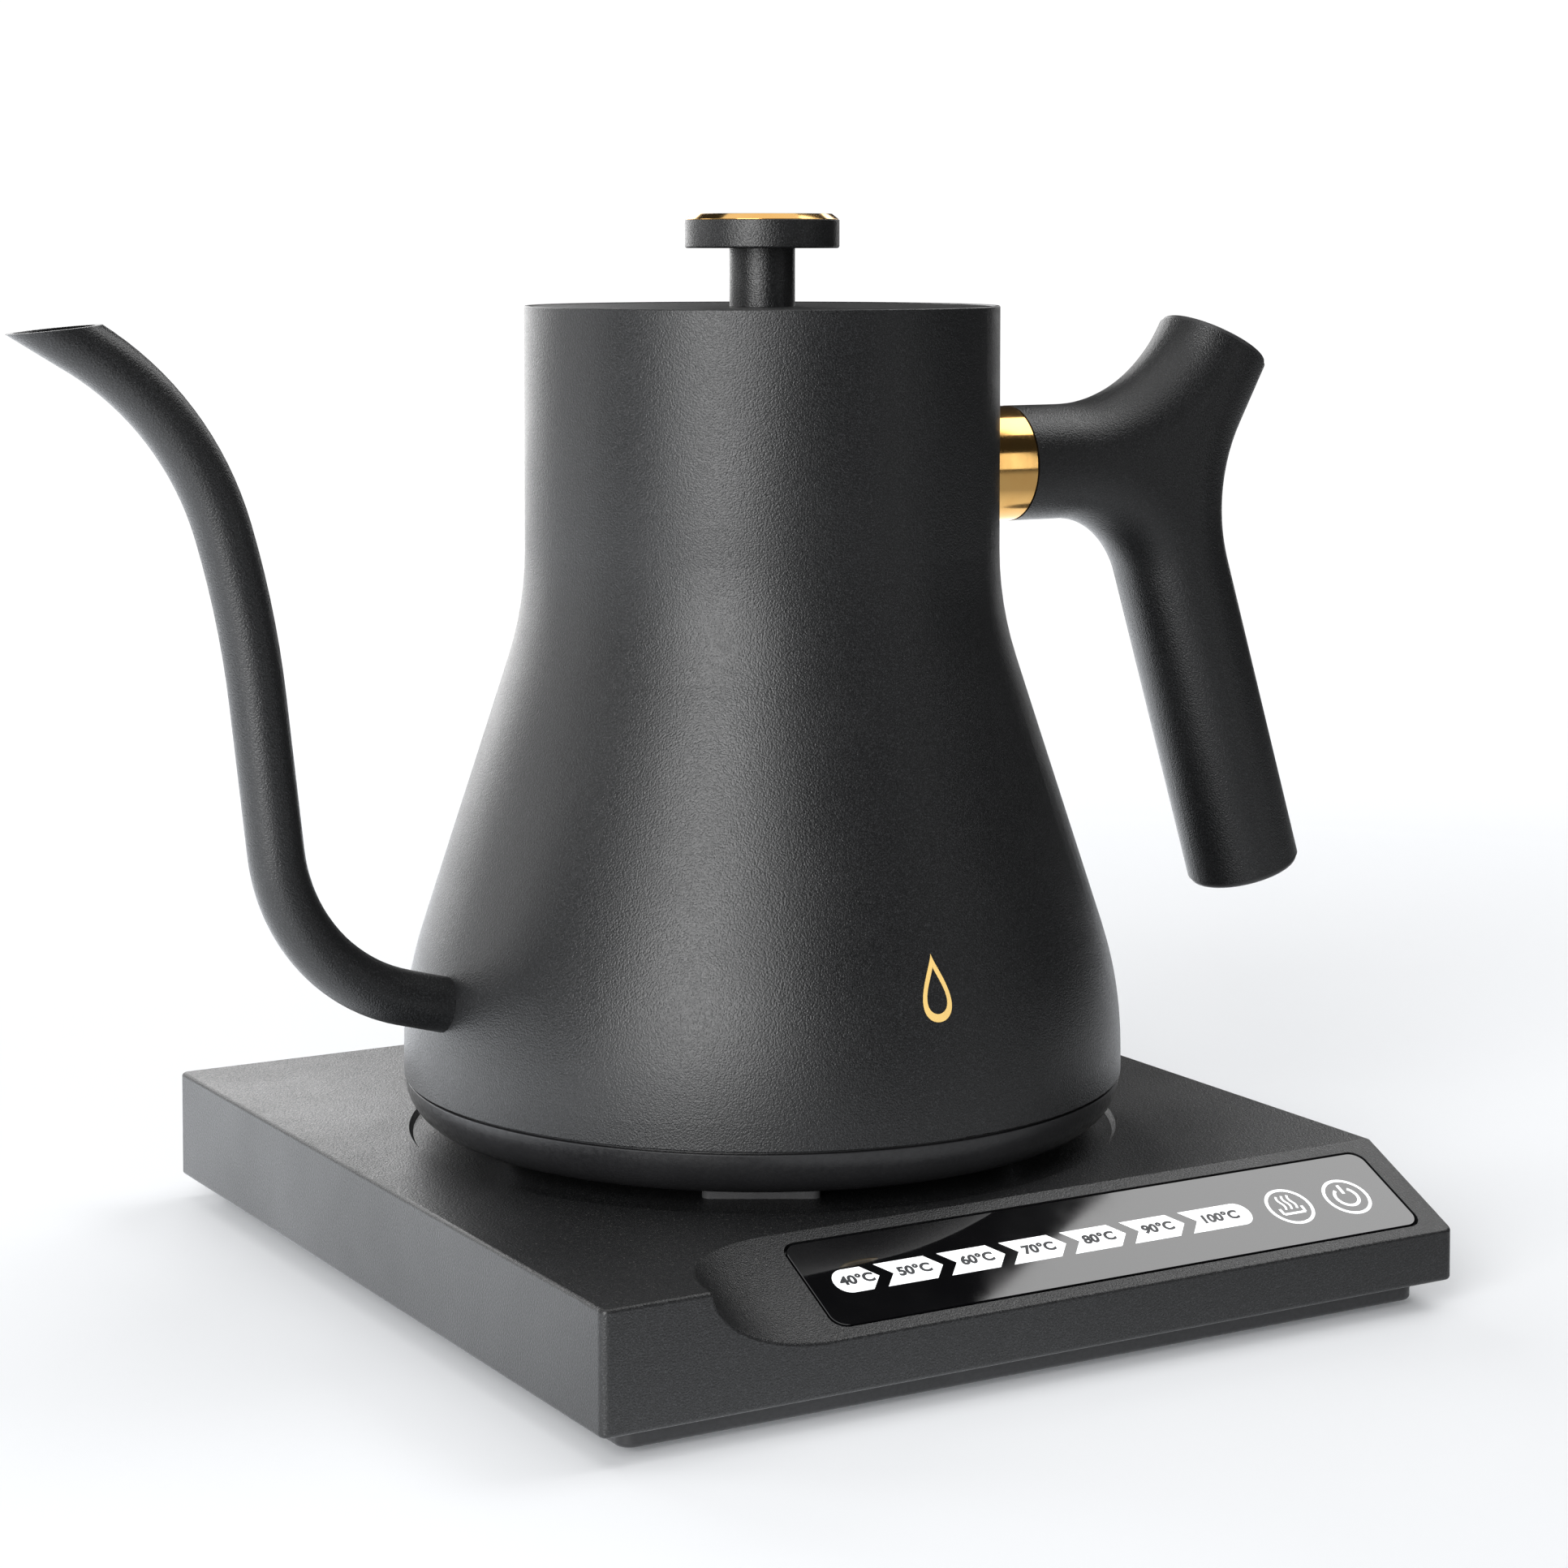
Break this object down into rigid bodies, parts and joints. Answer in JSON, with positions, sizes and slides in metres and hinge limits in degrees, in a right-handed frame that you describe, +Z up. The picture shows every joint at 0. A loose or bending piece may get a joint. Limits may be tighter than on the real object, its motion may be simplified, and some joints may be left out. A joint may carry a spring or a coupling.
{
  "type": "gooseneck kettle",
  "caption": "Electric gooseneck kettle with a slender pouring spout, flush knobbed lid and leaning grip, on a square heating base with a slanted touch panel.",
  "frame": {"origin": "on the kettle's swivel axis, at the surface that the base's foot ring stands on", "axes": "+Z up; +X from the spout to the handle; the control panel faces -Y"},
  "size_m": [0.2853, 0.1955, 0.2081],
  "materials": {
    "kettle_coat": "charcoal powder coat, fine texture, satin",
    "lid_coat": "charcoal powder coat, fine texture, satin",
    "grip_coat": "charcoal, fine spark-eroded texture, satin",
    "knob_coat": "charcoal powder coat, satin",
    "casing_coat": "charcoal, fine spark-eroded texture, satin",
    "gold": "polished, gold plated",
    "stainless": "brushed stainless steel",
    "element_steel": "heat-tinted steel sheath",
    "zinc": "zinc plated",
    "aluminium": "cast, matt",
    "contact_brass": "bare brass",
    "cover_plastic": "black, fine moulded grain",
    "plinth_plastic": "black, moulded",
    "connector_plastic": "black heat-resistant plastic",
    "shroud_plastic": "dark grey heat-resistant plastic",
    "cap_plastic": "black, satin",
    "guide_plastic": "milky diffuser",
    "relay_plastic": "dark case",
    "terminal_plastic": "green",
    "transformer_tape": "yellow tape over ferrite",
    "capacitor_sleeve": "shrink sleeve",
    "board": "green solder mask",
    "panel_glass": "back-printed black glass, polished",
    "silicone": "translucent silicone",
    "foot_rubber": "black rubber"
  },
  "bodies": {
    "base": {"base_casing": "casing_coat", "base_plinth": "plinth_plastic", "base_foot_ring": "foot_rubber", "base_screws": "zinc", "control_glass": "panel_glass", "light_guide": "guide_plastic", "display_board": "board", "transformer": "transformer_tape", "capacitor": "capacitor_sleeve", "buzzer": "cap_plastic", "base_connector": "connector_plastic", "connector_pins": "contact_brass", "cord_gland": "foot_rubber", "power_board": "board", "relay": "relay_plastic", "terminal_block": "terminal_plastic"},
    "shroud": {"contact_shroud": "shroud_plastic"},
    "kettle": {"kettle_body": "kettle_coat", "gooseneck_spout": "kettle_coat", "heater_plate": "stainless", "heat_spreader": "aluminium", "heating_element": "element_steel", "dry_boil_cutouts": "zinc", "temperature_sensor": "stainless", "sensor_seal": "silicone", "kettle_bottom_cover": "cover_plastic", "bottom_cover_screws": "zinc", "kettle_feet": "foot_rubber", "kettle_connector": "connector_plastic", "connector_contacts": "contact_brass", "handle_stud": "zinc", "handle_ferrule": "gold", "handle_grip": "grip_coat", "grip_set_screw": "zinc", "horn_cap": "cap_plastic", "grip_end_cap": "cap_plastic"},
    "lid": {"lid_plate": "lid_coat", "lid_gasket": "silicone", "lid_skirt": "stainless", "knob_stem": "knob_coat", "knob_disc": "knob_coat", "knob_gold_cap": "gold", "lid_washer": "zinc", "lid_screw": "zinc"}
  },
  "joints": [
    {"name": "kettle_swivel", "type": "hinge", "parent": "base", "child": "shroud", "pos_m": [0, 0, 0.028], "axis": [0, 0, 1], "continuous": true},
    {"name": "kettle_lift", "type": "slide", "parent": "shroud", "child": "kettle", "axis": [0, 0, 1], "range_m": [0, 0.15]},
    {"name": "lid_lift", "type": "slide", "parent": "kettle", "child": "lid", "axis": [0, 0, 1], "range_m": [0, 0.06]}
  ]
}
